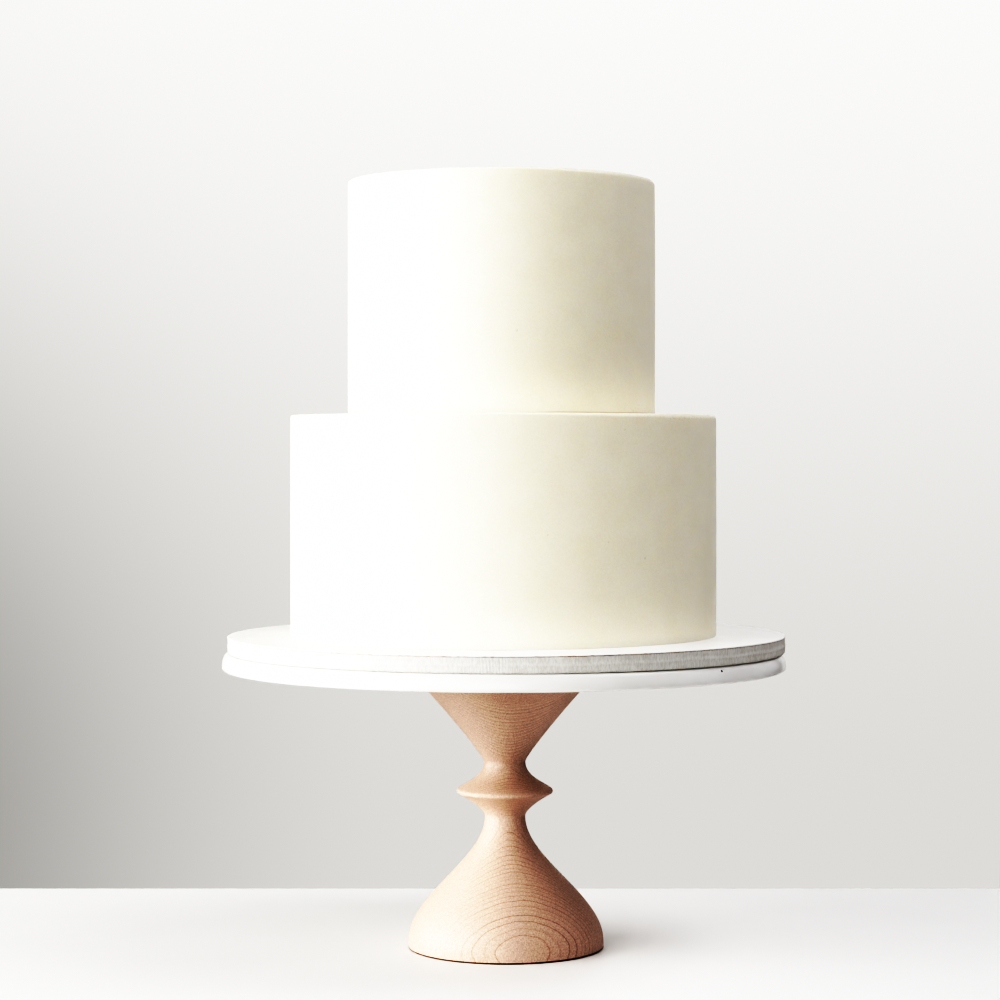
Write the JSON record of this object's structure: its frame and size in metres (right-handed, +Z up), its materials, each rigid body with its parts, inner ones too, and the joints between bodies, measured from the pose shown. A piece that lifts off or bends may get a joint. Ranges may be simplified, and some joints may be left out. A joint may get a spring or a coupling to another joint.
{
  "type": "tiered wedding cake",
  "caption": "Smooth ivory two-tier wedding cake on a wrapped round cake board, shown on a white round cake stand with a turned wooden pedestal.",
  "frame": {"origin": "centre of the pedestal's foot, on the surface that the stand rests on", "axes": "+Z up along the stand's axis, from the foot to the top of the cake; +X to the right and +Y away as seen from the front"},
  "size_m": [0.254, 0.254, 0.3457],
  "materials": {
    "icing": null,
    "board_wrap": "white satin paper wrap, finely pleated round the edge",
    "white_lacquer": "glossy white paint with a small chip on the rim",
    "maple": "satin clear-coated pale wood with fine ring lines"
  },
  "bodies": {
    "root": {"top_tier": "icing", "bottom_tier": "icing", "cake_board": "board_wrap", "stand_plate": "white_lacquer", "stand_pedestal": "maple"}
  },
  "joints": []
}
